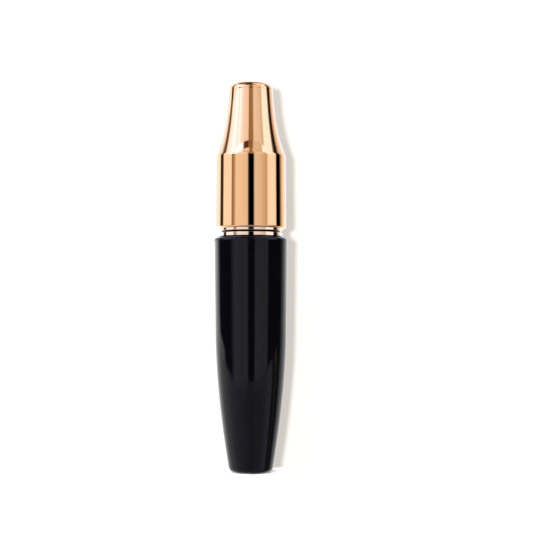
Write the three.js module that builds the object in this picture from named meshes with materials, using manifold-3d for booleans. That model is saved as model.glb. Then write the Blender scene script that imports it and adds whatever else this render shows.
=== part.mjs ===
// Mascara tube: a glossy tapered bottle closed by a waisted screw cap that carries the applicator wand.
// Units are millimetres. +Z is up, and the origin is the centre of the foot the tube stands on.

import * as THREE from 'three';
import { mergeVertices } from 'three/addons/utils/BufferGeometryUtils.js';
import Module from 'manifold-3d';

const wasm = await Module();
wasm.setup();

// ---- Driving dimensions ----------------------------------------------------------------------

const TUBE_HEIGHT = 121.4; // floor to the top of the cap
const BOTTLE_TOP = 73.1; // rim of the outer bottle
const CAP_MOUTH = 75.95; // lower edge of the cap; the collar shows between the two

const FOOT_RADIUS = 5.1; // flat the tube stands on
const FOOT_EDGE = 2.0; // rounding between the foot and the side
const BASE_RADIUS = 6.7; // where the taper would meet the floor
const WAIST_RADIUS = 11.15; // end of the taper
const WAIST_HEIGHT = 45.3;
const BOTTLE_RADIUS = 11.5; // widest, just under the rim
const BOTTLE_EDGE = 1.0; // rounding of the rim

const CAP_MOUTH_RADIUS = 11.08;
const CAP_LIP = 0.5; // rounding of the mouth
const CAP_BEND_RADIUS = 10.9; // where the skirt's line would meet the concave neck
const CAP_BEND_HEIGHT = 97.7;
const CAP_SHOULDER = 1.5; // the soft shoulder reaches this far above and below that bend
const CAP_TOP_RADIUS = 6.85;
const CAP_TOP_EDGE = 1.7; // rounding of the top

const BOTTLE_WALL = 1.35;
const VIAL_WALL = 1.1;
const CAP_WALL = 0.9;
const FIT = 0.3; // clearance between pieces that sit against each other

const COLLAR_RADIUS = 9.84;
const NECK_RADIUS = 6.9;
const NECK_BORE = 5.6;
const NECK_TOP = 89.0;
const NECK_THREAD_START = 79.2;
const THREAD_LEAD = 3.0; // one start, right-handed
const THREAD_TURNS = 2;
const THREAD_DEPTH = 0.8;
const CAP_BORE = NECK_RADIUS + THREAD_DEPTH + FIT;

const STEM_RADIUS = 1.85;
const STEM_END = CAP_MOUTH - 30.8;
const BRUSH_TIP = CAP_MOUTH - 55.9;
const WIRE_RADIUS = 0.45;

const VISIBLE_SIDES = 40;
const HIDDEN_SIDES = 24;
const CURVE_STEPS = 10;
const SHOULDER_STEPS = 3;

// ---- Geometry helpers ------------------------------------------------------------------------

const point = (radius, height) => new THREE.Vector2(radius, height);

// Turns an outline of (radius, height) points into a solid of revolution about Z. The outline runs
// up the outside and down the inside, and either starts and ends on the axis or closes on itself.
function revolve(outline, sides) {
  const geometry = new THREE.LatheGeometry(outline, sides);
  geometry.rotateX(Math.PI / 2);
  return geometry;
}

// Points of a quarter round about (radius, height), from one angle to the other in degrees.
function round(radius, height, size, fromDegrees, toDegrees) {
  const from = THREE.MathUtils.degToRad(fromDegrees);
  const to = THREE.MathUtils.degToRad(toDegrees);
  const arc = new THREE.EllipseCurve(radius, height, size, size, from, to, toDegrees < fromDegrees);
  return arc.getPoints(4);
}

// Radius of a rising curve at a height, found by halving.
function radiusOnCurve(curve, height) {
  let low = 0;
  let high = 1;
  for (let pass = 0; pass < 30; pass += 1) {
    const middle = (low + high) / 2;
    if (curve.getPoint(middle).y < height) {
      low = middle;
    } else {
      high = middle;
    }
  }
  return curve.getPoint(low).x;
}

// Outline points at even heights between two levels, moved inwards by inset.
function side(radiusAt, from, to, steps, inset) {
  const points = [];
  for (let step = 0; step <= steps; step += 1) {
    const height = THREE.MathUtils.lerp(from, to, step / steps);
    points.push(point(radiusAt(height) - inset, height));
  }
  return points;
}

function toSolid(geometry) {
  const bare = geometry.clone();
  bare.deleteAttribute('normal');
  bare.deleteAttribute('uv');
  const merged = mergeVertices(bare);
  const triVerts = new Uint32Array(merged.index.array);
  return new wasm.Manifold(new wasm.Mesh({ numProp: 3, vertProperties: merged.attributes.position.array, triVerts }));
}

function toGeometry(solid) {
  const mesh = solid.getMesh();
  const geometry = new THREE.BufferGeometry();
  geometry.setAttribute('position', new THREE.BufferAttribute(mesh.vertProperties, 3));
  geometry.setIndex(new THREE.BufferAttribute(mesh.triVerts, 1));
  geometry.computeVertexNormals();
  return geometry;
}

const join = (first, second) => toGeometry(toSolid(first).add(toSolid(second)));

// A helical ridge wound on a wall: an extruded bar bent round the axis, rising by THREAD_LEAD a turn.
// outward is +1 on the neck and -1 inside the cap. It grows out of the wall and runs back into it.
// An outward ridge takes the bar from its far end, which keeps its faces pointing out.
function thread(wallRadius, outward, startHeight, startAngle) {
  const root = -0.2;
  const section = new THREE.Shape([
    point(root, -0.65),
    point(THREAD_DEPTH, -0.3),
    point(THREAD_DEPTH, 0.3),
    point(root, 0.65),
  ]);
  const sweep = THREAD_TURNS * 2 * Math.PI;
  const steps = THREAD_TURNS * HIDDEN_SIDES;
  const bar = new THREE.ExtrudeGeometry(section, { depth: sweep, steps, bevelEnabled: false });
  const position = bar.attributes.position;
  const fadeAngle = Math.PI / 4;
  for (let index = 0; index < position.count; index += 1) {
    const along = position.getZ(index);
    const turned = outward > 0 ? sweep - along : along;
    const fade = Math.max(0.1, Math.min(1, turned / fadeAngle, (sweep - turned) / fadeAngle));
    const reach = root + (position.getX(index) - root) * fade;
    const radius = wallRadius + outward * reach;
    const angle = startAngle + turned;
    const height = startHeight + (THREAD_LEAD * turned) / (2 * Math.PI) + position.getY(index);
    position.setXYZ(index, radius * Math.cos(angle), radius * Math.sin(angle), height);
  }
  return bar;
}

// ---- Outer curves ----------------------------------------------------------------------------

const bottleTaper = new THREE.CubicBezierCurve(
  point(BASE_RADIUS, 0),
  point(10.115, 19.98),
  point(11.107, 33.36),
  point(WAIST_RADIUS, WAIST_HEIGHT),
);

function bottleRadius(height) {
  if (height < WAIST_HEIGHT) {
    return radiusOnCurve(bottleTaper, height);
  }
  return THREE.MathUtils.mapLinear(height, WAIST_HEIGHT, BOTTLE_TOP, WAIST_RADIUS, BOTTLE_RADIUS);
}

const capNeck = new THREE.CubicBezierCurve(
  point(CAP_BEND_RADIUS, CAP_BEND_HEIGHT),
  point(7.95, 105.85),
  point(7.3, 112.6),
  point(CAP_TOP_RADIUS, TUBE_HEIGHT - CAP_TOP_EDGE),
);

function skirtRadius(height) {
  return THREE.MathUtils.mapLinear(height, CAP_MOUTH, CAP_BEND_HEIGHT, CAP_MOUTH_RADIUS, CAP_BEND_RADIUS);
}

const SHOULDER_LOW = CAP_BEND_HEIGHT - CAP_SHOULDER;
const SHOULDER_HIGH = CAP_BEND_HEIGHT + CAP_SHOULDER;

const capShoulder = new THREE.QuadraticBezierCurve(
  point(skirtRadius(SHOULDER_LOW), SHOULDER_LOW),
  point(CAP_BEND_RADIUS, CAP_BEND_HEIGHT),
  point(radiusOnCurve(capNeck, SHOULDER_HIGH), SHOULDER_HIGH),
);

function capRadius(height) {
  if (height > SHOULDER_HIGH) {
    return radiusOnCurve(capNeck, height);
  }
  if (height > SHOULDER_LOW) {
    return radiusOnCurve(capShoulder, height);
  }
  return skirtRadius(height);
}

// ---- Bottle ----------------------------------------------------------------------------------

const LABEL_RECESS_RADIUS = 4.0;
const LABEL_RECESS_DEPTH = 0.8;
const BOTTLE_FLOOR = 2.6;
const VIAL_FLOOR = BOTTLE_FLOOR + FIT;

// Glossy outer bottle, a deep cup with a shallow recess for the label under its foot.
function outerBottle() {
  const edgeTop = BOTTLE_TOP - BOTTLE_EDGE;
  const sideStart = 1.63; // where the foot's rounding meets the taper
  const foot = round(FOOT_RADIUS, FOOT_EDGE, FOOT_EDGE, -90, -22);
  return revolve([
    point(0, LABEL_RECESS_DEPTH),
    point(LABEL_RECESS_RADIUS, LABEL_RECESS_DEPTH),
    point(LABEL_RECESS_RADIUS, 0),
    ...foot,
    ...side(bottleRadius, sideStart, edgeTop, CURVE_STEPS, 0),
    ...round(BOTTLE_RADIUS - BOTTLE_EDGE, edgeTop, BOTTLE_EDGE, 20, 90),
    ...side(bottleRadius, BOTTLE_TOP, BOTTLE_FLOOR, CURVE_STEPS, BOTTLE_WALL),
    point(0, BOTTLE_FLOOR),
  ], VISIBLE_SIDES);
}

// Inner vial: the reservoir, its shoulder and the threaded neck, open at the top.
function innerVial() {
  const outerInset = BOTTLE_WALL + FIT;
  const innerInset = outerInset + VIAL_WALL;
  const shoulderStart = 67.4;
  const shoulderEnd = 69.5;
  const throatStart = 66.2;
  const throatEnd = 68.4;
  const vial = revolve([
    point(0, VIAL_FLOOR),
    ...side(bottleRadius, VIAL_FLOOR, shoulderStart, CURVE_STEPS, outerInset),
    point(NECK_RADIUS, shoulderEnd),
    point(NECK_RADIUS, NECK_TOP),
    point(NECK_BORE, NECK_TOP),
    point(NECK_BORE, throatEnd),
    ...side(bottleRadius, throatStart, VIAL_FLOOR + VIAL_WALL, CURVE_STEPS, innerInset),
    point(0, VIAL_FLOOR + VIAL_WALL),
  ], HIDDEN_SIDES);
  return join(vial, thread(NECK_RADIUS, 1, NECK_THREAD_START, 0));
}

// Collar: a thin ring pressed over the neck's shoulder, with one groove round its visible band.
function neckCollar() {
  const bottom = 70.0;
  const top = 77.0;
  const disc = 75.9; // underside of the ring that meets the neck
  const wallInside = 8.6;
  const hole = 7.3;
  const grooveLow = 74.6;
  const grooveHigh = 75.15;
  const grooveRadius = 9.25;
  return revolve([
    point(wallInside, bottom),
    point(COLLAR_RADIUS, bottom),
    point(COLLAR_RADIUS, grooveLow),
    point(grooveRadius, grooveLow),
    point(grooveRadius, grooveHigh),
    point(COLLAR_RADIUS, grooveHigh),
    point(COLLAR_RADIUS, top - 0.3),
    point(COLLAR_RADIUS - 0.3, top),
    point(hole, top),
    point(hole, disc),
    point(wallInside, disc),
    point(wallInside, bottom),
  ], VISIBLE_SIDES);
}

// Wiper: a soft sleeve hung in the neck by its flange, ending in a thin cone round the stem.
function wiper() {
  const flangeLow = NECK_TOP + FIT;
  const flangeHigh = flangeLow + 0.7;
  const sleeve = NECK_BORE - FIT;
  const bore = sleeve - 0.8;
  const coneTop = 79.6;
  const coneBottom = 75.0;
  const orifice = STEM_RADIUS + 0.15;
  return revolve([
    point(orifice, coneBottom),
    point(orifice + 0.5, coneBottom),
    point(sleeve, coneTop),
    point(sleeve, flangeLow),
    point(6.6, flangeLow),
    point(6.6, flangeHigh),
    point(bore + 0.4, flangeHigh),
    point(bore, flangeHigh - 0.4),
    point(bore, coneTop + 0.4),
    point(orifice, coneBottom + 0.9),
    point(orifice, coneBottom),
  ], HIDDEN_SIDES);
}

// Plain round sticker, held up inside the recess under the foot.
function baseLabel() {
  const low = 0.35;
  const high = 0.5;
  const radius = LABEL_RECESS_RADIUS - 0.35;
  return revolve([point(0, low), point(radius, low), point(radius, high), point(0, high)], HIDDEN_SIDES);
}

// ---- Cap and wand ----------------------------------------------------------------------------

// Cap shell: a thin cup, open at its mouth, with a straight skirt, a soft shoulder, a waisted neck
// and a flat top.
function outerCapShell() {
  const topWall = 1.1;
  const neckTop = TUBE_HEIGHT - CAP_TOP_EDGE;
  const innerTop = TUBE_HEIGHT - topWall;
  const innerEdge = 1.0;
  const neckStep = 1.5; // first point of the neck above the shoulder
  const innerCorner = round(CAP_TOP_RADIUS - CAP_WALL - innerEdge, innerTop - innerEdge, innerEdge, 90, 0);
  const lip = round(CAP_MOUTH_RADIUS - CAP_LIP, CAP_MOUTH + CAP_LIP, CAP_LIP, -90, -5);
  return revolve([
    point(0, innerTop),
    ...innerCorner,
    ...side(capRadius, innerTop - innerEdge - 0.5, SHOULDER_HIGH + neckStep, CURVE_STEPS - 3, CAP_WALL),
    ...side(capRadius, SHOULDER_HIGH, SHOULDER_LOW, SHOULDER_STEPS, CAP_WALL),
    point(CAP_MOUTH_RADIUS - CAP_WALL, CAP_MOUTH),
    ...lip,
    ...side(capRadius, SHOULDER_LOW, SHOULDER_HIGH, SHOULDER_STEPS, 0),
    ...side(capRadius, SHOULDER_HIGH + neckStep, neckTop, CURVE_STEPS - 2, 0),
    ...round(CAP_TOP_RADIUS - CAP_TOP_EDGE, neckTop, CAP_TOP_EDGE, 12, 90),
    point(0, TUBE_HEIGHT),
  ], VISIBLE_SIDES);
}

// Inner cap: the threaded liner, with a socket for the stem and a flange that centres it in the shell.
function innerCap() {
  const bottom = 77.4;
  const ceiling = 91.8;
  const web = 93.8;
  const skirtRadius = CAP_MOUTH_RADIUS - CAP_WALL - 0.72;
  const socketRadius = STEM_RADIUS + FIT;
  const socketTop = 101.0;
  const spigotRadius = 4.2;
  const flangeLow = 99.4;
  const flangeHigh = 100.4;
  const flangeRadius = 8.4;
  const top = 102.6;
  const liner = revolve([
    point(0, socketTop),
    point(socketRadius, socketTop),
    point(socketRadius, ceiling),
    point(CAP_BORE, ceiling),
    point(CAP_BORE, bottom + 0.4),
    point(CAP_BORE + 0.3, bottom),
    point(skirtRadius, bottom),
    point(skirtRadius, web - 0.6),
    point(skirtRadius - 0.6, web),
    point(spigotRadius, web),
    point(spigotRadius, flangeLow),
    point(flangeRadius, flangeLow),
    point(flangeRadius, flangeHigh),
    point(spigotRadius, flangeHigh),
    point(spigotRadius, top),
    point(0, top),
  ], HIDDEN_SIDES);
  // Half a lead above the neck's thread, and one turn further up, so the two engage for one turn.
  const start = NECK_THREAD_START + THREAD_LEAD;
  return join(liner, thread(CAP_BORE, -1, start, Math.PI));
}

// Liner ring on the stem, lying on the wiper's flange.
function stemGasket() {
  const low = NECK_TOP + 1.3;
  const high = low + 1.1;
  const hole = STEM_RADIUS + 0.35;
  const radius = 6.5;
  return revolve([
    point(hole, low),
    point(radius, low),
    point(radius, high),
    point(hole, high),
    point(hole, low),
  ], HIDDEN_SIDES);
}

// Steel slug in the narrow top of the cap, which gives the cap its weight.
function capWeight() {
  const low = 107.5;
  const high = 120.0;
  const radius = 5.4;
  const chamfer = 0.8;
  return revolve([
    point(0, low),
    point(radius - chamfer, low),
    point(radius, low + chamfer),
    point(radius, high - chamfer),
    point(radius - chamfer, high),
    point(0, high),
  ], HIDDEN_SIDES);
}

// Stem: a rod seated in the inner cap, bored at its lower end for the brush wire.
function wandStem() {
  const top = 100.7;
  const wireHole = WIRE_RADIUS + FIT;
  const holeDepth = 8.0;
  const chamfer = 0.4;
  return revolve([
    point(0, STEM_END + holeDepth),
    point(wireHole, STEM_END + holeDepth),
    point(wireHole, STEM_END),
    point(STEM_RADIUS - chamfer, STEM_END),
    point(STEM_RADIUS, STEM_END + chamfer),
    point(STEM_RADIUS, top),
    point(0, top),
  ], HIDDEN_SIDES);
}

// Core wire that holds the bristles, staked into the stem.
function brushWire() {
  const low = BRUSH_TIP + 0.3;
  const high = STEM_END + 7.5;
  return revolve([point(0, low), point(WIRE_RADIUS, low), point(WIRE_RADIUS, high), point(0, high)], 12);
}

// Outer form of the bristles, tapering towards the tip and hollow round the wire.
function brushBristles() {
  const low = BRUSH_TIP;
  const high = STEM_END - FIT;
  const tipRadius = 2.2;
  const wideRadius = 3.3;
  const hole = WIRE_RADIUS + FIT;
  return revolve([
    point(hole, low),
    point(tipRadius - 0.7, low),
    point(tipRadius, low + 0.8),
    point(wideRadius, high - 2.0),
    point(wideRadius - 0.8, high),
    point(hole, high),
    point(hole, low),
  ], 24);
}

// ---- Assembly --------------------------------------------------------------------------------

const roseGold = () => new THREE.MeshStandardMaterial({ color: 0xe8b48c, roughness: 0.12, metalness: 1.0 });
const glossBlack = () => new THREE.MeshStandardMaterial({ color: 0x0a0a0c, roughness: 0.08, metalness: 0.0 });
const satinBlack = () => new THREE.MeshStandardMaterial({ color: 0x121213, roughness: 0.45, metalness: 0.0 });
const natural = () => new THREE.MeshStandardMaterial({ color: 0xe6e3da, roughness: 0.5, metalness: 0.0 });
const steel = () => new THREE.MeshStandardMaterial({ color: 0xb8babd, roughness: 0.35, metalness: 1.0 });

const pieces = {
  outer_bottle: [outerBottle, glossBlack],
  inner_vial: [innerVial, natural],
  neck_collar: [neckCollar, roseGold],
  wiper: [wiper, natural],
  base_label: [baseLabel, natural],
  stem_gasket: [stemGasket, natural],
  cap_weight: [capWeight, steel],
  outer_cap_shell: [outerCapShell, roseGold],
  inner_cap: [innerCap, natural],
  wand_stem: [wandStem, satinBlack],
  brush_wire: [brushWire, steel],
  brush_bristles: [brushBristles, satinBlack],
};

const tube = new THREE.Group();
for (const [name, [makeGeometry, makeMaterial]] of Object.entries(pieces)) {
  const mesh = new THREE.Mesh(makeGeometry(), makeMaterial());
  mesh.name = name;
  tube.add(mesh);
}

export default tube;
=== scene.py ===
import math
import random

import bpy
from mathutils import Matrix, Vector


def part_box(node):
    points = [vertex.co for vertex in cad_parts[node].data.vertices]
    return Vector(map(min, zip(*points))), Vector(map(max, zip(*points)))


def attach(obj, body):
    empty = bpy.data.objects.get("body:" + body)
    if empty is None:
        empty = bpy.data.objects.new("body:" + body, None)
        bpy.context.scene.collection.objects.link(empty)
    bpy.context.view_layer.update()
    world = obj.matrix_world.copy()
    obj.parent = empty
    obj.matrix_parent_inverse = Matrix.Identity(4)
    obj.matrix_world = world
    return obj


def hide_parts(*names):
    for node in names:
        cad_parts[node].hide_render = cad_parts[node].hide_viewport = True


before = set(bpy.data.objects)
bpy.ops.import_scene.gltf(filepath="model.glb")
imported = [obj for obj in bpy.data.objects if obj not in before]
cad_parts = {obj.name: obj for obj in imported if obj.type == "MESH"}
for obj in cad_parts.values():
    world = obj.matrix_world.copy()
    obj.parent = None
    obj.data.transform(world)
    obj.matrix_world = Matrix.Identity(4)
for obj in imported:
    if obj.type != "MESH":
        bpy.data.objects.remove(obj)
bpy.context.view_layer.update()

# Lengths below are in millimetres until a mesh is made; MM turns them into Blender's metres.
MM = 0.001


def low(node):
    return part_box(node)[0].z / MM


def high(node):
    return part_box(node)[1].z / MM


def half_width(node):
    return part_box(node)[1].x / MM


# ---- Driving dimensions, read from the frame -------------------------------------------------

TUBE_TOP = high("outer_cap_shell")
BOTTLE_TOP = high("outer_bottle")
CAP_MOUTH = low("outer_cap_shell")
BOTTLE_RADIUS = half_width("outer_bottle")
CAP_RADIUS = half_width("outer_cap_shell")
COLLAR_RADIUS = half_width("neck_collar")
STEM_RADIUS = half_width("wand_stem")
STEM_END = low("wand_stem")
WIRE_RADIUS = half_width("brush_wire")
BRUSH_RADIUS = half_width("brush_bristles")

# ---- Outer curves: the CAD solids' own, with a sharper shoulder and a rounder top edge -------

WAIST = (11.15, 45.3)  # radius and height where the bottle's taper ends
BOTTLE_TAPER = [(6.7, 0.0), (10.115, 19.98), (11.107, 33.36), WAIST]
CAP_BEND = (10.9, 98.6)  # end of the cap's skirt, start of its concave neck
CAP_TOP_RADIUS = 6.85
CAP_TOP_EDGE = 1.95  # rounding round the flat top
CAP_NECK = [CAP_BEND, (7.95, 105.85), (7.3, 112.6), (CAP_TOP_RADIUS, TUBE_TOP - CAP_TOP_EDGE)]
CAP_SHOULDER = 0.4  # how far the soft turn reaches each side of the bend
BOTTLE_WALL = 1.35
CAP_WALL = 0.9
VIAL_INSET = 1.65  # from the bottle's outside to the vial's
VIAL_WALL = 1.1

NECK_RADIUS = 6.9
NECK_BORE = 5.6
NECK_TOP = high("inner_vial")
CAP_BORE = 8.0
THREAD_LEAD = 3.0
THREAD_TURNS = 2
THREAD_DEPTH = 0.8
THREAD_HALF_WIDTH = 0.56
THREAD_FLANK = 0.3
NECK_THREAD_START = 79.2

STEM_SLIDE = 0.15  # clearance between the stem and the wiper's lip
SEAT = 0.3  # clearance between pieces that are pressed or glued together

SIDES = 192
CLOSE = 0.05  # from a curved stretch to the extra point that keeps the long face beside it flat


def bezier(points, t):
    """A point of a cubic curve through four (radius, height) control points."""
    weights = ((1 - t) ** 3, 3 * t * (1 - t) ** 2, 3 * t * t * (1 - t), t**3)
    radius = sum(w * p[0] for w, p in zip(weights, points))
    height = sum(w * p[1] for w, p in zip(weights, points))
    return radius, height


def radius_on(points, height):
    """Radius of a rising curve at a height, found by halving."""
    start, end = 0.0, 1.0
    for _ in range(40):
        middle = (start + end) / 2
        if bezier(points, middle)[1] < height:
            start = middle
        else:
            end = middle
    return bezier(points, start)[0]


def between(height, below, above):
    """Radius on the straight line between two (radius, height) points."""
    share = (height - below[1]) / (above[1] - below[1])
    return below[0] + share * (above[0] - below[0])


def bottle_radius(height):
    if height < WAIST[1]:
        return radius_on(BOTTLE_TAPER, height)
    return between(height, WAIST, (BOTTLE_RADIUS, BOTTLE_TOP))


def cap_radius(height):
    if height > CAP_BEND[1]:
        return radius_on(CAP_NECK, height)
    return between(height, (CAP_RADIUS, CAP_MOUTH), CAP_BEND)


# ---- Outlines --------------------------------------------------------------------------------

def side(radius_at, start, end, steps, inset=0.0):
    """Outline points at even heights, moved inwards by inset."""
    heights = [start + (end - start) * step / steps for step in range(steps + 1)]
    return [(radius_at(height) - inset, height, 0.0) for height in heights]


def fillet(before, corner, after, size):
    """An arc in place of a corner, with a close point each side that keeps long faces flat."""
    steps = 20 if size >= 1.0 else 8  # the large roundings carry highlights that would show facets
    here = Vector(corner[:2])
    back = (Vector(before[:2]) - here).normalized()
    on = (Vector(after[:2]) - here).normalized()
    half = back.angle(on) / 2
    reach = size / math.tan(half)
    centre = here + (back + on).normalized() * (size / math.sin(half))
    first = here + back * reach - centre
    turn = first.angle_signed(here + on * reach - centre)
    points = [here + back * (reach + CLOSE)]
    for step in range(steps + 1):
        points.append(centre + Matrix.Rotation(-turn * step / steps, 2) @ first)
    points.append(here + on * (reach + CLOSE))
    return [tuple(p) for p in points]


def outline(points):
    """(radius, height) points from (radius, height, rounding) corners."""
    made = []
    closed = points[0][:2] == points[-1][:2]
    for index, here in enumerate(points):
        inner = 0 < index < len(points) - 1
        if here[2] > 0 and inner:
            made.extend(fillet(points[index - 1], here, points[index + 1], here[2]))
        else:
            made.append(here[:2])
    return made, closed


# ---- Mesh helpers ----------------------------------------------------------------------------

def mesh_piece(name, vertices, faces, material, sharp_degrees=40.0):
    mesh = bpy.data.meshes.new(name)
    mesh.from_pydata([tuple(c * MM for c in v) for v in vertices], [], faces)
    mesh.validate()
    mesh.shade_smooth()
    mesh.set_sharp_from_angle(angle=math.radians(sharp_degrees))
    mesh.materials.append(material)
    piece = bpy.data.objects.new(name, mesh)
    bpy.context.scene.collection.objects.link(piece)
    return piece


def revolve(name, corners, material, sides=SIDES, shape=None):
    """A solid of revolution about Z. shape(angle, radius, height) may change a point's radius."""
    points, closed = outline(corners)
    if closed:
        points = points[:-1]
    vertices, rings = [], []
    for radius, height in points:
        if radius == 0:
            rings.append([len(vertices)] * sides)
            vertices.append((0.0, 0.0, height))
            continue
        rings.append(list(range(len(vertices), len(vertices) + sides)))
        for index in range(sides):
            angle = 2 * math.pi * index / sides
            reach = shape(angle, radius, height) if shape else radius
            vertices.append((reach * math.cos(angle), reach * math.sin(angle), height))
    faces = []
    pairs = list(zip(rings, rings[1:]))
    if closed:
        pairs.append((rings[-1], rings[0]))
    for lower, upper in pairs:
        for index in range(sides):
            after = (index + 1) % sides
            corners_of_face = [lower[index], lower[after], upper[after], upper[index]]
            face = [v for k, v in enumerate(corners_of_face) if v not in corners_of_face[:k]]
            if len(face) > 2:
                faces.append(face)
    return mesh_piece(name, vertices, faces, material)


def thread_shape(wall, outward, start_height, start_angle):
    """Raises a helical ridge on a wall: outward is 1 on the neck and -1 inside the cap."""
    sweep = THREAD_TURNS * 2 * math.pi
    fade_angle = math.pi / 4

    def shape(angle, radius, height):
        if abs(radius - wall) > 0.001:
            return radius
        wanted = 2 * math.pi * (height - start_height) / THREAD_LEAD
        turns = round((wanted - (angle - start_angle)) / (2 * math.pi))
        turned = angle - start_angle + 2 * math.pi * turns
        fade = min(1.0, turned / fade_angle, (sweep - turned) / fade_angle)
        if fade <= 0:
            return radius
        away = abs(height - start_height - THREAD_LEAD * turned / (2 * math.pi))
        rise = min(1.0, max(0.0, (THREAD_HALF_WIDTH - away) / THREAD_FLANK))
        smooth = rise * rise * (3 - 2 * rise)
        return radius + outward * THREAD_DEPTH * smooth * fade

    return shape


def wall_points(radius, start, end, spacing=0.1):
    """Close points on a straight wall, for a thread to be raised from."""
    steps = max(1, round(abs(end - start) / spacing))
    return [(radius, start + (end - start) * step / steps, 0.0) for step in range(steps + 1)]


def finish_piece(piece, body, slot, *nodes):
    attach(piece, body)
    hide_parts(*nodes)


# ---- Materials -------------------------------------------------------------------------------

def new_material(name, **inputs):
    material = bpy.data.materials.new(name)
    material.use_nodes = True
    shader = material.node_tree.nodes["Principled BSDF"]
    for socket, value in inputs.items():
        shader.inputs[socket.replace("_", " ")].default_value = value
    return material


def add(material, kind, **values):
    node = material.node_tree.nodes.new(kind)
    for name, value in values.items():
        if name in node.inputs:
            node.inputs[name].default_value = value
        else:
            setattr(node, name, value)
    return node


def link(material, source, target):
    material.node_tree.links.new(source, target)


def noise(material, scale, detail, stretch=(1, 1, 1)):
    """Noise in the piece's own coordinates, in metres; stretch squeezes it along an axis."""
    coordinates = add(material, "ShaderNodeTexCoord")
    mapping = add(material, "ShaderNodeMapping")
    mapping.inputs["Scale"].default_value = stretch
    texture = add(material, "ShaderNodeTexNoise")
    texture.inputs["Scale"].default_value = scale
    texture.inputs["Detail"].default_value = detail
    link(material, coordinates.outputs["Object"], mapping.inputs["Vector"])
    link(material, mapping.outputs["Vector"], texture.inputs["Vector"])
    return texture.outputs["Fac"]


def vary_roughness(material, source, smoothest, roughest):
    spread = add(material, "ShaderNodeMapRange")
    spread.inputs["From Min"].default_value = 0.3
    spread.inputs["From Max"].default_value = 0.7
    spread.inputs["To Min"].default_value = smoothest
    spread.inputs["To Max"].default_value = roughest
    link(material, source, spread.inputs["Value"])
    shader = material.node_tree.nodes["Principled BSDF"]
    link(material, spread.outputs["Result"], shader.inputs["Roughness"])


def mix_colours(material, share, first, second):
    """First colour at share 0 and second at share 1; either may be another node's output."""
    mix = add(material, "ShaderNodeMix")
    mix.data_type = "RGBA"
    link(material, share, mix.inputs[0])
    for socket, colour in ((mix.inputs[6], first), (mix.inputs[7], second)):
        if isinstance(colour, tuple):
            socket.default_value = (*colour, 1.0)
        else:
            link(material, colour, socket)
    return mix.outputs[2]


def vary_colour(material, source, first, second):
    shader = material.node_tree.nodes["Principled BSDF"]
    link(material, mix_colours(material, source, first, second), shader.inputs["Base Color"])


def bump(material, source, height_mm, strength=1.0):
    node = add(material, "ShaderNodeBump")
    node.inputs["Strength"].default_value = strength
    node.inputs["Distance"].default_value = height_mm * MM
    link(material, source, node.inputs["Height"])
    shader = material.node_tree.nodes["Principled BSDF"]
    link(material, node.outputs["Normal"], shader.inputs["Normal"])


def rose_gold():
    """Vacuum-metallised plastic under clear lacquer: a mirror with the faintest orange peel."""
    material = new_material("rose_gold_plating", Metallic=1.0)
    vary_colour(material, noise(material, 60.0, 2.0), (0.925, 0.552, 0.300), (0.915, 0.540, 0.291))
    vary_roughness(material, noise(material, 500.0, 3.0), 0.02, 0.032)
    bump(material, noise(material, 300.0, 2.0), 0.0002)
    return material


def collar_plating():
    """The neck ring's paler plating, with painted shade: near-black in its groove and in a ring round
    its foot where it meets the bottle.
    """
    groove_shade_inset = 0.25  # how far in from the outside the painted shade in the groove starts
    foot_shade_height = 0.45  # height of the painted-shade ring above the bottle's rim
    material = new_material("collar_plating", Metallic=1.0)
    plating = noise(material, 60.0, 2.0)
    vary_roughness(material, noise(material, 500.0, 3.0), 0.03, 0.06)
    bump(material, noise(material, 300.0, 2.0), 0.0002)
    shader = material.node_tree.nodes["Principled BSDF"]
    coordinates = add(material, "ShaderNodeTexCoord")
    flat = add(material, "ShaderNodeVectorMath", operation="MULTIPLY")
    flat.inputs[1].default_value = (1.0, 1.0, 0.0)
    length = add(material, "ShaderNodeVectorMath", operation="LENGTH")
    outside = add(material, "ShaderNodeMath", operation="GREATER_THAN")
    outside.inputs[1].default_value = (COLLAR_RADIUS - groove_shade_inset) * MM
    split = add(material, "ShaderNodeSeparateXYZ")
    above = add(material, "ShaderNodeMath", operation="GREATER_THAN")
    above.inputs[1].default_value = (BOTTLE_TOP + foot_shade_height) * MM
    # mask: 1 on the plating, 0 where the groove and foot get painted shade
    unshaded = add(material, "ShaderNodeMath", operation="MULTIPLY")
    link(material, coordinates.outputs["Object"], flat.inputs[0])
    link(material, flat.outputs["Vector"], length.inputs[0])
    link(material, length.outputs["Value"], outside.inputs[0])
    link(material, coordinates.outputs["Object"], split.inputs[0])
    link(material, split.outputs["Z"], above.inputs[0])
    link(material, outside.outputs[0], unshaded.inputs[0])
    link(material, above.outputs[0], unshaded.inputs[1])
    pale = mix_colours(material, plating, (0.95, 0.74, 0.62), (0.93, 0.72, 0.60))
    # painted shade: near-black in the groove and at the foot, plating everywhere else
    colour = mix_colours(material, unshaded.outputs[0], (0.004, 0.003, 0.003), pale)
    link(material, colour, shader.inputs["Base Color"])
    return material


def gloss_black():
    """Polished black styrene: deep colour, sharp dim reflections, hairline polish marks."""
    material = new_material("gloss_black_plastic", IOR=1.5, Specular_IOR_Level=0.21)
    tone = noise(material, 90.0, 2.0)
    vary_colour(material, tone, (0.0012, 0.0010, 0.0019), (0.0014, 0.0012, 0.0022))
    vary_roughness(material, noise(material, 1200.0, 4.0, (1, 1, 0.2)), 0.03, 0.055)
    bump(material, noise(material, 300.0, 2.0), 0.0002)
    return material


def satin_black():
    """Moulded polypropylene with a fine satin grain."""
    material = new_material("satin_black_plastic", IOR=1.5, Specular_IOR_Level=0.3)
    tone = noise(material, 300.0, 3.0)
    vary_colour(material, tone, (0.0030, 0.0030, 0.0034), (0.0050, 0.0050, 0.0055))
    vary_roughness(material, noise(material, 2500.0, 4.0), 0.26, 0.40)
    bump(material, noise(material, 6000.0, 3.0), 0.004, 0.5)
    return material


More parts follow.
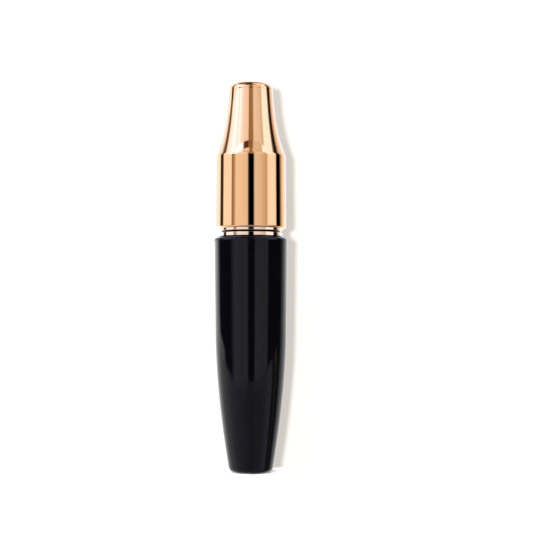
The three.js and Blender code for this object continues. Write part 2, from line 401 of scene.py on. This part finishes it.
def natural_plastic():
    """Unpigmented polypropylene: milky, a little translucent, with faint flow lines."""
    milkiness = {"Subsurface_Weight": 0.35, "Subsurface_Scale": 0.0015}
    material = new_material("natural_plastic", IOR=1.49, **milkiness)
    flow = noise(material, 120.0, 3.0, (1, 1, 0.25))
    vary_colour(material, flow, (0.56, 0.545, 0.505), (0.50, 0.485, 0.45))
    vary_roughness(material, noise(material, 1500.0, 3.0), 0.28, 0.42)
    bump(material, noise(material, 2500.0, 3.0), 0.004, 0.5)
    return material


def soft_wiper():
    """Soft low-density polyethylene, whiter and duller than the vial."""
    milkiness = {"Subsurface_Weight": 0.5, "Subsurface_Scale": 0.001}
    material = new_material("soft_wiper_plastic", IOR=1.51, **milkiness)
    vary_colour(material, noise(material, 200.0, 3.0), (0.62, 0.62, 0.60), (0.56, 0.56, 0.54))
    vary_roughness(material, noise(material, 1800.0, 3.0), 0.40, 0.55)
    bump(material, noise(material, 3500.0, 3.0), 0.004, 0.5)
    return material


def gasket_foam():
    """Closed-cell foam with a finely pitted skin."""
    material = new_material("gasket_foam", IOR=1.45)
    coordinates = add(material, "ShaderNodeTexCoord")
    cells = add(material, "ShaderNodeTexVoronoi")
    cells.inputs["Scale"].default_value = 6000.0
    link(material, coordinates.outputs["Object"], cells.inputs["Vector"])
    vary_colour(material, noise(material, 2500.0, 4.0), (0.66, 0.66, 0.64), (0.58, 0.58, 0.56))
    vary_roughness(material, noise(material, 2500.0, 3.0), 0.75, 0.95)
    bump(material, cells.outputs["Distance"], 0.05, 0.8)
    return material


def label_film():
    """Matt white film with a faint fibre tone, left blank."""
    material = new_material("label_film", IOR=1.45)
    fibres = noise(material, 3000.0, 5.0, (1, 0.15, 1))
    vary_colour(material, fibres, (0.66, 0.65, 0.63), (0.60, 0.59, 0.57))
    vary_roughness(material, noise(material, 1500.0, 3.0), 0.45, 0.6)
    bump(material, noise(material, 5000.0, 4.0, (1, 0.2, 1)), 0.01, 0.4)
    return material


def turned_steel():
    """Bar steel with the fine rings of a lathe tool."""
    material = new_material("weight_steel", Metallic=1.0)
    coordinates = add(material, "ShaderNodeTexCoord")
    rings = add(material, "ShaderNodeTexWave")
    rings.bands_direction = "Z"
    rings.inputs["Scale"].default_value = 1200.0
    rings.inputs["Distortion"].default_value = 0.5
    link(material, coordinates.outputs["Object"], rings.inputs["Vector"])
    vary_colour(material, noise(material, 400.0, 3.0), (0.58, 0.58, 0.59), (0.48, 0.48, 0.49))
    vary_roughness(material, noise(material, 1500.0, 3.0), 0.25, 0.4)
    bump(material, rings.outputs["Fac"], 0.01, 0.6)
    return material


def wire_steel():
    """Drawn stainless wire, slightly dulled."""
    material = new_material("wire_steel", Metallic=1.0)
    vary_colour(material, noise(material, 900.0, 3.0), (0.50, 0.50, 0.51), (0.38, 0.38, 0.39))
    vary_roughness(material, noise(material, 4000.0, 3.0, (1, 1, 0.1)), 0.28, 0.45)
    bump(material, noise(material, 9000.0, 2.0, (1, 1, 0.1)), 0.003, 0.5)
    return material


def bristle_nylon():
    """Black nylon fibre with a soft gloss."""
    material = new_material("bristle_nylon", IOR=1.53, Specular_IOR_Level=0.2)
    tone = noise(material, 1500.0, 3.0)
    vary_colour(material, tone, (0.0020, 0.0020, 0.0022), (0.0045, 0.0045, 0.0050))
    vary_roughness(material, noise(material, 5000.0, 3.0), 0.3, 0.5)
    bump(material, noise(material, 12000.0, 2.0), 0.004, 0.5)
    return material


GOLD = rose_gold()
COLLAR = collar_plating()
BLACK = gloss_black()
SATIN = satin_black()
NATURAL = natural_plastic()
WIPER = soft_wiper()
FOAM = gasket_foam()
FILM = label_film()
STEEL = turned_steel()
WIRE = wire_steel()
NYLON = bristle_nylon()

# ---- Bottle ----------------------------------------------------------------------------------

def make_outer_bottle():
    recess_radius = 4.0
    recess = 0.8
    floor = 2.6
    foot_edge = 2.0
    rim_edge = 1.0
    rim_inside = 0.2
    corners = [
        (0.0, recess, 0.0),
        (recess_radius, recess, 0.12),
        (recess_radius, 0.0, 0.12),
        (BOTTLE_TAPER[0][0], 0.0, foot_edge),
        *side(bottle_radius, foot_edge + 0.3, BOTTLE_TOP - rim_edge - 0.3, 90),
        (BOTTLE_RADIUS, BOTTLE_TOP, rim_edge),
        (BOTTLE_RADIUS - BOTTLE_WALL, BOTTLE_TOP, rim_inside),
        *side(bottle_radius, BOTTLE_TOP - 0.6, floor + 1.2, 30, BOTTLE_WALL),
        (bottle_radius(floor) - BOTTLE_WALL, floor, 0.5),
        (0.0, floor, 0.0),
    ]
    piece = revolve("bottle_outer", corners, BLACK)
    finish_piece(piece, "bottle", "gloss_black_plastic", "outer_bottle")


def make_inner_vial():
    floor = low("inner_vial")
    inside_floor = floor + VIAL_WALL
    inner_inset = VIAL_INSET + VIAL_WALL
    shoulder = 67.4
    inner_shoulder = 66.2
    neck_start = 69.5
    bore_start = 68.4
    corners = [
        (0.0, floor, 0.0),
        (bottle_radius(floor) - VIAL_INSET, floor, 0.6),
        *side(bottle_radius, floor + 1.2, shoulder - 0.4, 40, VIAL_INSET),
        (bottle_radius(shoulder) - VIAL_INSET, shoulder, 0.0),
        (NECK_RADIUS, neck_start, 0.0),
        *wall_points(NECK_RADIUS, neck_start + 0.1, NECK_TOP - 0.4),
        (NECK_RADIUS - 0.05, NECK_TOP - 0.15, 0.0),
        (NECK_RADIUS - 0.3, NECK_TOP, 0.0),
        (NECK_BORE + 0.2, NECK_TOP, 0.0),
        (NECK_BORE, NECK_TOP - 0.2, 0.0),
        (NECK_BORE, bore_start, 0.0),
        *side(bottle_radius, inner_shoulder, inside_floor + 1.2, 40, inner_inset),
        (bottle_radius(inside_floor) - inner_inset, inside_floor, 0.5),
        (0.0, inside_floor, 0.0),
    ]
    shape = thread_shape(NECK_RADIUS, 1, NECK_THREAD_START, 0.0)
    piece = revolve("vial_with_threaded_neck", corners, NATURAL, shape=shape)
    finish_piece(piece, "bottle", "natural_plastic", "inner_vial")


def make_collar():
    bottom = low("neck_collar")
    top = high("neck_collar")
    groove_low = 74.6
    groove_high = 75.15
    groove_radius = 9.25
    skirt_bore = 8.6
    lip_bore = 7.3
    lip_bottom = 75.9
    corners = [
        (skirt_bore, bottom, 0.0),
        (COLLAR_RADIUS, bottom, 0.15),
        (COLLAR_RADIUS, groove_low, 0.1),
        (groove_radius, groove_low, 0.08),
        (groove_radius, groove_high, 0.08),
        (COLLAR_RADIUS, groove_high, 0.1),
        (COLLAR_RADIUS, top, 0.3),
        (lip_bore, top, 0.1),
        (lip_bore, lip_bottom, 0.1),
        (skirt_bore, lip_bottom, 0.1),
        (skirt_bore, bottom, 0.0),
    ]
    piece = revolve("collar", corners, COLLAR)
    finish_piece(piece, "bottle", "rose_gold_plating", "neck_collar")


def make_wiper():
    flange_low = NECK_TOP + SEAT
    flange_high = high("wiper")
    flange = half_width("wiper")
    bottom = low("wiper")
    orifice = STEM_RADIUS + STEM_SLIDE
    sleeve = NECK_BORE - SEAT
    bore = 4.5
    cone_top = 79.6
    corners = [
        (orifice, bottom, 0.0),
        (orifice + 0.5, bottom, 0.15),
        (sleeve, cone_top, 0.8),
        (sleeve, flange_low, 0.2),
        (flange, flange_low, 0.1),
        (flange, flange_high, 0.2),
        (bore + 0.4, flange_high, 0.15),
        (bore, flange_high - 0.4, 0.15),
        (bore, cone_top + 0.4, 0.8),
        (orifice, bottom + 0.9, 0.3),
        (orifice, bottom, 0.0),
    ]
    piece = revolve("wiper_insert", corners, WIPER, sides=128)
    finish_piece(piece, "bottle", "soft_wiper_plastic", "wiper")


def make_base_label():
    bottom = low("base_label")
    top = high("base_label")
    radius = half_width("base_label")
    edge = 0.03
    corners = [(0.0, bottom, 0.0), (radius, bottom, edge), (radius, top, edge), (0.0, top, 0.0)]
    piece = revolve("blank_label", corners, FILM, sides=96)
    finish_piece(piece, "bottle", "label_film", "base_label")


# ---- Cap -------------------------------------------------------------------------------------

def make_cap_shell():
    ceiling = TUBE_TOP - 1.1
    neck_top = TUBE_TOP - CAP_TOP_EDGE
    lip = 0.5
    below_bend = CAP_BEND[1] - CAP_SHOULDER - CLOSE
    above_bend = CAP_BEND[1] + CAP_SHOULDER + CLOSE
    corners = [
        (0.0, ceiling, 0.0),
        (CAP_TOP_RADIUS - CAP_WALL, ceiling, 0.9),
        *side(cap_radius, ceiling - 1.5, CAP_BEND[1], 40, CAP_WALL),
        (CAP_RADIUS - CAP_WALL, CAP_MOUTH, 0.15),
        (CAP_RADIUS, CAP_MOUTH, lip),
        *side(cap_radius, CAP_MOUTH + lip + 0.3, below_bend, 12),
        *cap_bend(CAP_SHOULDER),
        *side(cap_radius, above_bend, neck_top - 0.1, 90),
        (CAP_TOP_RADIUS, TUBE_TOP, CAP_TOP_EDGE),
        (0.0, TUBE_TOP, 0.0),
    ]
    piece = revolve("cap_shell", corners, GOLD)
    finish_piece(piece, "cap", "rose_gold_plating", "outer_cap_shell")


def cap_bend(reach):
    """Soft turn between the skirt and the concave neck, reach millimetres each side of the bend."""
    below = Vector((cap_radius(CAP_BEND[1] - reach), CAP_BEND[1] - reach))
    above = Vector((cap_radius(CAP_BEND[1] + reach), CAP_BEND[1] + reach))
    bend = Vector(CAP_BEND)
    points = []
    steps = 16
    for step in range(steps + 1):
        t = step / steps
        spot = below.lerp(bend, t).lerp(bend.lerp(above, t), t)
        points.append((spot.x, spot.y, 0.0))
    return points


def make_inner_cap():
    bottom = low("inner_cap")
    top = high("inner_cap")
    skirt = half_width("inner_cap")
    skirt_top = 93.8
    ceiling = 91.8
    socket = STEM_RADIUS + SEAT
    socket_top = 101.0
    post = 4.2
    flange = 8.4
    flange_low = 99.4
    flange_high = 100.4
    corners = [
        (0.0, socket_top, 0.0),
        (socket, socket_top, 0.1),
        (socket, ceiling, 0.1),
        (CAP_BORE, ceiling, 0.1),
        *wall_points(CAP_BORE, ceiling - 0.4, bottom + 0.6),
        (CAP_BORE + 0.3, bottom, 0.1),
        (skirt, bottom, 0.15),
        (skirt, skirt_top, 0.6),
        (post, skirt_top, 0.3),
        (post, flange_low, 0.2),
        (flange, flange_low, 0.1),
        (flange, flange_high, 0.1),
        (post, flange_high, 0.2),
        (post, top, 0.3),
        (0.0, top, 0.0),
    ]
    shape = thread_shape(CAP_BORE, -1, NECK_THREAD_START + THREAD_LEAD, math.pi)
    piece = revolve("inner_cap_liner", corners, NATURAL, sides=144, shape=shape)
    finish_piece(piece, "cap", "natural_plastic", "inner_cap")


def make_gasket():
    bottom = low("stem_gasket")
    top = high("stem_gasket")
    hole = STEM_RADIUS + 0.35
    radius = half_width("stem_gasket")
    edge = 0.12
    corners = [
        (hole, bottom, 0.0),
        (radius, bottom, edge),
        (radius, top, edge),
        (hole, top, edge),
        (hole, bottom, 0.0),
    ]
    piece = revolve("gasket_ring", corners, FOAM, sides=96)
    finish_piece(piece, "gasket", "gasket_foam", "stem_gasket")


def make_weight():
    bottom = low("cap_weight")
    top = high("cap_weight")
    radius = half_width("cap_weight")
    chamfer = 0.8
    edge = 0.1
    corners = [
        (0.0, bottom, 0.0),
        (radius - chamfer, bottom, edge),
        (radius, bottom + chamfer, edge),
        (radius, top - chamfer, edge),
        (radius - chamfer, top, edge),
        (0.0, top, 0.0),
    ]
    piece = revolve("steel_weight", corners, STEEL, sides=128)
    finish_piece(piece, "weight", "weight_steel", "cap_weight")


# ---- Wand ------------------------------------------------------------------------------------

def make_stem():
    top = high("wand_stem")
    wire_hole = WIRE_RADIUS + SEAT
    hole_top = STEM_END + 8.0
    corners = [
        (0.0, hole_top, 0.0),
        (wire_hole, hole_top, 0.0),
        (wire_hole, STEM_END, 0.08),
        (STEM_RADIUS - 0.4, STEM_END, 0.1),
        (STEM_RADIUS, STEM_END + 0.5, 0.25),
        (STEM_RADIUS, top, 0.2),
        (0.0, top, 0.0),
    ]
    piece = revolve("stem", corners, SATIN, sides=96)
    finish_piece(piece, "cap", "satin_black_plastic", "wand_stem")


def make_wire():
    """Two round strands twisted together."""
    bottom = low("brush_wire")
    top = high("brush_wire")
    strand = 0.235
    offset = WIRE_RADIUS - strand
    pitch = 2.2
    steps = 360
    around = 10
    lean = math.atan2(2 * math.pi * offset, pitch)
    vertices, faces = [], []
    for start in (0.0, math.pi):
        first = len(vertices)
        for step in range(steps + 1):
            height = bottom + (top - bottom) * step / steps
            angle = start + 2 * math.pi * (height - bottom) / pitch
            outward = Vector((math.cos(angle), math.sin(angle), 0.0))
            sideways = Vector((-math.sin(angle), math.cos(angle), 0.0))
            across = sideways * math.cos(lean) - Vector((0.0, 0.0, math.sin(lean)))
            centre = outward * offset + Vector((0.0, 0.0, height))
            for index in range(around):
                turn = 2 * math.pi * index / around
                spot = centre + (outward * math.cos(turn) + across * math.sin(turn)) * strand
                spot.z = min(max(spot.z, bottom), top)
                vertices.append(tuple(spot))
        for step in range(steps):
            ring = first + step * around
            for index in range(around):
                after = (index + 1) % around
                faces.append([ring + index, ring + after, ring + around + after, ring + around + index])
        last = first + steps * around
        faces.append([first + index for index in reversed(range(around))])
        faces.append([last + index for index in range(around)])
    piece = mesh_piece("twisted_wire", vertices, faces, WIRE)
    finish_piece(piece, "cap", "wire_steel", "brush_wire")


def brush_reach(share):
    """Radius of the brush from its tip (0) to the stem (1)."""
    tip = 0.66
    taper = tip + (1 - tip) * min(1.0, share / 0.8) ** 0.9
    round_tip = min(1.0, 0.72 + share / 0.12)
    round_stem = min(1.0, 0.78 + (1 - share) / 0.2)
    return BRUSH_RADIUS * taper * round_tip * round_stem


def make_bristles():
    """Fibres clamped in the twist: two helical rows, each fibre a thin bent spike."""
    chance = random.Random(7)
    margin = 0.15
    bottom = low("brush_bristles") + margin
    top = high("brush_bristles") - margin
    pitch = 1.15
    count = 4200
    thickness = 0.06
    tip_thinning = 0.35
    row_spread = 0.22
    length_spread = 0.035
    tilt_spread = 0.07
    bend_spread = 0.05
    tip_margin = 0.02
    overhang = 0.1
    segments = 3
    sides = 3
    root = WIRE_RADIUS * 0.5
    vertices, faces = [], []
    for index in range(count):
        share = index / (count - 1)
        height = bottom + (top - bottom) * share
        angle = 2 * math.pi * height / pitch + (index % 2) * math.pi + chance.gauss(0, row_spread)
        reach = (brush_reach(share) - tip_margin) * (1 - abs(chance.gauss(0, length_spread)))
        tilt = chance.gauss(0, tilt_spread)
        bend = chance.gauss(0, bend_spread)
        outward = Vector((math.cos(angle), math.sin(angle), 0.0))
        sideways = Vector((-math.sin(angle), math.cos(angle), 0.0))
        first = len(vertices)
        for step in range(segments + 1):
            along = step / segments
            radius = root + (reach - root) * along
            rise = tilt * radius + bend * radius * along
            rise = min(max(rise, bottom - height - overhang), top - height + overhang)
            centre = outward * radius + Vector((0.0, 0.0, height + rise))
            width = thickness * (1.0 - tip_thinning * along)
            for corner in range(sides):
                turn = 2 * math.pi * corner / sides
                offset = sideways * (math.cos(turn) * width) + Vector((0, 0, math.sin(turn) * width))
                vertices.append(tuple(centre + offset))
        for step in range(segments):
            ring = first + step * sides
            for corner in range(sides):
                after = (corner + 1) % sides
                faces.append([ring + corner, ring + after, ring + sides + after, ring + sides + corner])
        faces.append([first + corner for corner in reversed(range(sides))])
        faces.append([first + segments * sides + corner for corner in range(sides)])
    piece = mesh_piece("bristles", vertices, faces, NYLON, sharp_degrees=70.0)
    finish_piece(piece, "cap", "bristle_nylon", "brush_bristles")


# ---- Studio ----------------------------------------------------------------------------------

def make_camera():
    """A long lens a little above the tube's middle, tipped up to centre it, tube left of centre."""
    height = TUBE_TOP * MM
    distance = 0.45
    eye = 0.41 * height
    aim = 0.528 * height
    frame_width = 1.372 * height
    sideways = 0.0405 * height
    data = bpy.data.cameras.new("camera")
    data.sensor_width = 36.0
    data.lens = data.sensor_width * math.hypot(distance, aim - eye) / frame_width
    data.clip_start = 0.01
    data.clip_end = 10.0
    camera = bpy.data.objects.new("camera", data)
    camera.location = (sideways, -distance, eye)
    camera.rotation_euler = (math.pi / 2 + math.atan2(aim - eye, distance), 0.0, 0.0)
    bpy.context.scene.collection.objects.link(camera)
    bpy.context.scene.camera = camera


# Soft boxes and dark flags round the set, seen only as reflections. Each list is a belt of the sky,
# from FLOOR_NEAR at the bottom to ROOF at the top. Its entries are (compass angle in degrees, 0 on
# the camera's side and positive to the right, brightness or colour).
CREAM = (1.3, 1.22, 1.32)
TAN = (0.635, 0.535, 0.41)
BROWN = (0.366, 0.258, 0.133)
DEEP_BROWN = (0.20, 0.145, 0.08)
COOL_WHITE = (1.3, 1.8, 2.9)
BACK_WHITE = (1.1, 1.35, 1.65)
FLOOR_TINT = (0.96, 0.99, 1.2)
FLOOR_TINT_REACH = 80
FLOOR_NEAR = [
    (-150, 2.2), (-140, 1.95), (-120, 1.5), (-110, 1.2), (-90, 1.2), (-70, 0.85), (-50, 0.72),
    (-40, 0.60), (-20, 0.52), (-10, 0.42), (10, 0.40), (20, 0.46), (40, 0.48), (50, 0.55),
    (60, 0.70), (70, 0.85), (76, 0.75), (82, 0.12), (88, 0.05), (92, (0.32, 0.25, 0.19)),
    (97, (0.32, 0.25, 0.19)), (101, 0.05), (108, 0.05), (114, 0.50), (120, 0.78), (130, 1.15),
    (140, 1.25), (180, 1.2),
]
FLOOR_FAR = [
    (-180, 2.1), (-150, 2.4), (-130, 1.95), (-110, 1.6), (-96, 1.6), (-90, 0.05), (-66, 0.02),
    (-61, 0.60), (-50, 1.1), (-40, 0.95), (-30, 0.80), (-12, 0.62), (-6, 0.45), (8, 0.45),
    (14, 0.60), (50, 0.70), (68, 0.85), (74, 0.65), (79, 0.15), (84, 0.05),
    (88, (0.65, 0.46, 0.42)), (94, (0.60, 0.45, 0.38)), (98, 0.0), (106, 0.0), (110, 0.15),
    (114, 0.35), (120, 0.70), (130, 1.1), (145, 1.5), (180, 1.3),
]
TABLE_EDGE = [
    (-180, 1.5), (-155, 2.6), (-140, 2.6), (-128, 2.1), (-121, 1.4), (-117, 0.5), (-112, 0.1),
    (-108, 0.02), (-66, 0.02), (-58, 0.60), (-52, 0.95), (-45, 1.1), (-38, 1.0), (-30, 0.83),
    (-12, 0.95), (-9.5, 0.65), (-7, 0.12), (-4, 0.0), (10, 0.0), (13.5, 0.45), (16, 0.92), (33, 0.90),
    (45, 0.83), (52, 0.90), (55, 0.65), (59, 0.10), (63, 0.02), (108, 0.02), (114, 0.30),
    (121, 0.60), (136, 1.5), (145, 1.7),
]
EYE_LEVEL = [
    (-150, (1.1, 1.31, 1.6)), (-123, (1.1, 1.44, 1.67)), (-119, 1.3), (-116, 0.06), (-103, 0.02),
    (-100, 0.60), (-98, CREAM), (-67, CREAM), (-63, (0.30, 0.20, 0.10)), (-58, (0.42, 0.32, 0.22)),
    (-53, (0.66, 0.575, 0.50)), (-49, 0.95), (-46, 1.0), (-19, (0.93, 0.89, 0.82)), (-10, 0.85),
    (-7.5, 0.12), (-4.5, 0.0), (9.5, 0.0), (13, 0.75), (16, (0.886, 0.868, 0.93)),
    (33, (0.82, 0.806, 0.745)), (54, TAN), (58, 1.0), (61, CREAM), (88, CREAM), (94, 0.0),
    (110, 0.0), (116, (0.45, 0.45, 0.35)), (122, (0.75, 0.72, 0.58)), (129, 1.05),
    (137, (1.15, 1.18, 1.35)), (150, (1.2, 1.25, 1.55)),
]
BACK_RIGHT = [
    (95, 0.3), (99, (0.04, 0.03, 0.02)), (110, (0.0, 0.0, 0.0)), (117, (0.60, 0.48, 0.42)),
    (126, (0.90, 0.94, 1.05)), (138, (1.05, 1.20, 1.45)), (152, (1.1, 1.25, 1.6)),
]
UPPER_WALL = [
    (-180, BACK_WHITE), (-128, BACK_WHITE), (-118, (0.38, 0.32, 0.28)), (-113, (0.14, 0.09, 0.06)),
    (-107, (0.13, 0.09, 0.07)), (-101, (0.95, 1.15, 1.45)), (-97, (1.2, 1.52, 2.1)),
    (-86, (1.2, 1.56, 2.3)), (-79, COOL_WHITE), (-66, COOL_WHITE), (-61, (0.95, 1.4, 1.9)),
    (-53, COOL_WHITE), (-41, (1.05, 1.3, 1.75)), (-35, (1.04, 1.18, 1.48)), (-25, (1.03, 1.05, 1.3)),
    (-12, (1.0, 1.0, 1.17)), (-7, BROWN), (9, BROWN), (13.5, (0.82, 0.83, 0.88)),
    (20, (0.94, 0.98, 1.1)), (45, (0.87, 0.86, 0.90)), (53, (0.69, 0.70, 0.65)),
    (60, (1.1, 1.5, 1.93)), (90, (1.08, 1.47, 1.93)), *BACK_RIGHT,
]
CORNICE = [
    (-180, BACK_WHITE), (-128, BACK_WHITE), (-118, (0.38, 0.32, 0.28)), (-107, (0.13, 0.09, 0.07)),
    (-97, (1.2, 1.7, 2.2)), (-80, COOL_WHITE), (-35, (1.35, 1.8, 3.2)), (-30, 0.6),
    (-27, (0.10, 0.07, 0.04)), (-12, (0.07, 0.05, 0.02)), (-8, (0.29, 0.19, 0.10)),
    (8, (0.29, 0.19, 0.10)), (12, (0.84, 0.80, 0.82)), (40, (0.80, 0.78, 0.80)),
    (46, (0.70, 0.75, 0.80)), (51, (1.1, 1.6, 2.1)), (90, (1.1, 1.6, 2.2)), *BACK_RIGHT,
]
ROOF_EDGE = [
    (-100, CREAM), (-75, COOL_WHITE), (-55, COOL_WHITE), (-38, CREAM), (-28, (0.98, 0.92, 0.90)),
    (-8, (0.95, 0.90, 0.85)), (-5, BROWN), (7, BROWN), (10, (0.84, 0.80, 0.75)),
    (45, (0.78, 0.70, 0.60)), (55, CREAM),
]
ROOF = [
    (-180, DEEP_BROWN), (-150, DEEP_BROWN), (-120, BROWN), (-65, BROWN), (-52, 0.01), (22, 0.01),
    (32, TAN), (60, CREAM), (140, TAN), (160, DEEP_BROWN),
]


def tinted(bands):
    """The floor's bands, cooler in front of the tube than beside it."""
    made = []
    for angle, brightness in bands:
        if isinstance(brightness, float) and abs(angle) < FLOOR_TINT_REACH:
            made.append((angle, tuple(brightness * channel for channel in FLOOR_TINT)))
        else:
            made.append((angle, brightness))
    return made


def world_ramp(tree, azimuth, bands):
    """Brightness or colour by compass angle."""
    ramp = tree.nodes.new("ShaderNodeValToRGB")
    elements = ramp.color_ramp.elements
    while len(elements) > 1:
        elements.remove(elements[0])
    for index, (angle, colour) in enumerate(bands):
        if not isinstance(colour, tuple):
            colour = (colour, colour, colour)
        element = elements[0] if index == 0 else elements.new(angle / 360 + 0.5)
        element.position = angle / 360 + 0.5
        element.color = (*colour, 1.0)
    tree.links.new(azimuth, ramp.inputs["Fac"])
    return ramp.outputs["Color"]


def world_step(tree, angle, start, end):
    """0 below one angle and 1 above another, in degrees."""
    step = tree.nodes.new("ShaderNodeMapRange")
    step.interpolation_type = "SMOOTHSTEP"
    step.inputs["From Min"].default_value = math.radians(start)
    step.inputs["From Max"].default_value = math.radians(end)
    tree.links.new(angle, step.inputs["Value"])
    return step.outputs["Result"]


def world_math(tree, operation, *sources):
    node = tree.nodes.new("ShaderNodeMath")
    node.operation = operation
    for index, source in enumerate(sources):
        if isinstance(source, (int, float)):
            node.inputs[index].default_value = source
        else:
            tree.links.new(source, node.inputs[index])
    return node.outputs[0]


def world_mix(tree, factor, first, second):
    mix = tree.nodes.new("ShaderNodeMix")
    mix.data_type = "RGBA"
    tree.links.new(factor, mix.inputs[0])
    for socket, source in ((6, first), (7, second)):
        if isinstance(source, tuple):
            mix.inputs[socket].default_value = (*source, 1.0)
        else:
            tree.links.new(source, mix.inputs[socket])
    return mix.outputs[2]


def make_world():
    """The belts stacked from the floor to the roof; the camera itself sees plain white."""
    world = bpy.data.worlds.new("studio")
    bpy.context.scene.world = world
    world.use_nodes = True
    tree = world.node_tree
    coordinates = tree.nodes.new("ShaderNodeTexCoord")
    split = tree.nodes.new("ShaderNodeSeparateXYZ")
    tree.links.new(coordinates.outputs["Generated"], split.inputs[0])
    x, y, z = split.outputs
    towards = world_math(tree, "MULTIPLY", y, -1.0)
    angle = world_math(tree, "ARCTAN2", x, towards)
    azimuth = world_math(tree, "MULTIPLY_ADD", angle, 1 / (2 * math.pi), 0.5)
    elevation = world_math(tree, "ARCSINE", z)
    table_dip = math.radians(7.5)  # the table's edge is nearer, so lower, towards the camera
    table = world_math(tree, "MULTIPLY_ADD", towards, table_dip, elevation)
    belts = [
        (table, -7.6, -5.8, tinted(FLOOR_FAR)),
        (table, -5.0, -4.0, TABLE_EDGE),
        (elevation, 2.3, 3.1, EYE_LEVEL),
        (elevation, 13.0, 16.0, UPPER_WALL),
        (elevation, 40.0, 41.6, CORNICE),
        (elevation, 45.9, 46.9, ROOF_EDGE),
        (elevation, 50.0, 53.0, ROOF),
    ]
    colour = world_ramp(tree, azimuth, tinted(FLOOR_NEAR))
    for height, start, end, bands in belts:
        share = world_step(tree, height, start, end)
        colour = world_mix(tree, share, colour, world_ramp(tree, azimuth, bands))
    zenith = (0.5, 0.5, 0.5)
    colour = world_mix(tree, world_step(tree, elevation, 87.8, 88.6), colour, zenith)
    seen = tree.nodes.new("ShaderNodeLightPath")
    white = (1.0, 1.0, 1.0)
    colour = world_mix(tree, seen.outputs["Is Camera Ray"], colour, white)
    tree.links.new(colour, tree.nodes["Background"].inputs["Color"])


def soft_light(name, place, size, watts):
    """A square panel aimed at the tube's middle. It lights the set but shows in no reflection."""
    data = bpy.data.lights.new(name, "AREA")
    data.size = size
    data.energy = watts
    light = bpy.data.objects.new(name, data)
    light.location = place
    aim = Vector((0.0, 0.0, 0.5 * TUBE_TOP * MM)) - light.location
    light.rotation_euler = aim.to_track_quat("-Z", "Y").to_euler()
    light.visible_glossy = False
    light.visible_camera = False
    bpy.context.scene.collection.objects.link(light)
    return light


def make_lights(stage):
    """A small key left of the camera throws the tube's shadow on the card, and lights only the stage.
    A large panel overhead lights everything."""
    key_distance = 1.0
    key_angle = math.radians(11.0)
    key_height = 0.55 * TUBE_TOP * MM
    across = -key_distance * math.sin(key_angle)
    forward = -key_distance * math.cos(key_angle)
    key = soft_light("key", (across, forward, key_height), size=0.1, watts=51.0)
    lit = bpy.data.collections.new("lit_by_key")
    for plane in stage:
        lit.objects.link(plane)
    key.light_linking.receiver_collection = lit
    soft_light("overhead", (-0.25, -0.2, 0.9), size=0.8, watts=11.0)


def stage_plane(name, corners, material):
    plane = mesh_piece(name, corners, [[0, 1, 2, 3]], material)
    plane.visible_glossy = False
    return plane


def stage_white(name, colour):
    material = new_material(name, Specular_IOR_Level=0.0)
    darker = tuple(0.99 * channel for channel in colour)
    vary_colour(material, noise(material, 20.0, 2.0), colour, darker)
    vary_roughness(material, noise(material, 30.0, 2.0), 0.8, 0.9)
    return material


def make_floor():
    half = 600.0
    corners = [(-half, -half, 0.0), (half, -half, 0.0), (half, half, 0.0), (-half, half, 0.0)]
    return stage_plane("floor", corners, stage_white("floor_white", (0.92, 0.88, 0.84)))


def make_backdrop():
    """A softly back-lit card close behind the tube, see-through from its back: it takes the shadow."""
    material = stage_white("card_white", (0.087, 0.087, 0.084))
    shader = material.node_tree.nodes["Principled BSDF"]
    shader.inputs["Emission Color"].default_value = (0.555, 0.515, 0.475, 1.0)
    shader.inputs["Emission Strength"].default_value = 1.0
    output = material.node_tree.nodes["Material Output"]
    clear = add(material, "ShaderNodeBsdfTransparent")
    blend = add(material, "ShaderNodeMixShader")
    geometry = add(material, "ShaderNodeNewGeometry")
    link(material, geometry.outputs["Backfacing"], blend.inputs[0])
    link(material, shader.outputs[0], blend.inputs[1])
    link(material, clear.outputs[0], blend.inputs[2])
    link(material, blend.outputs[0], output.inputs["Surface"])
    gap = 2.5
    behind = BOTTLE_RADIUS + gap
    half = 100.0
    top = 250.0
    corners = [(-half, behind, 0.0), (half, behind, 0.0), (half, behind, top), (-half, behind, top)]
    card = stage_plane("card", corners, material)
    card.visible_shadow = False
    card.visible_diffuse = False
    return card


bpy.context.scene.view_settings.view_transform = "Standard"
make_camera()
make_world()
make_lights([make_floor(), make_backdrop()])

make_outer_bottle()
make_inner_vial()
make_collar()
make_wiper()
make_base_label()
make_cap_shell()
make_inner_cap()
make_gasket()
make_weight()
make_stem()
make_wire()
make_bristles()
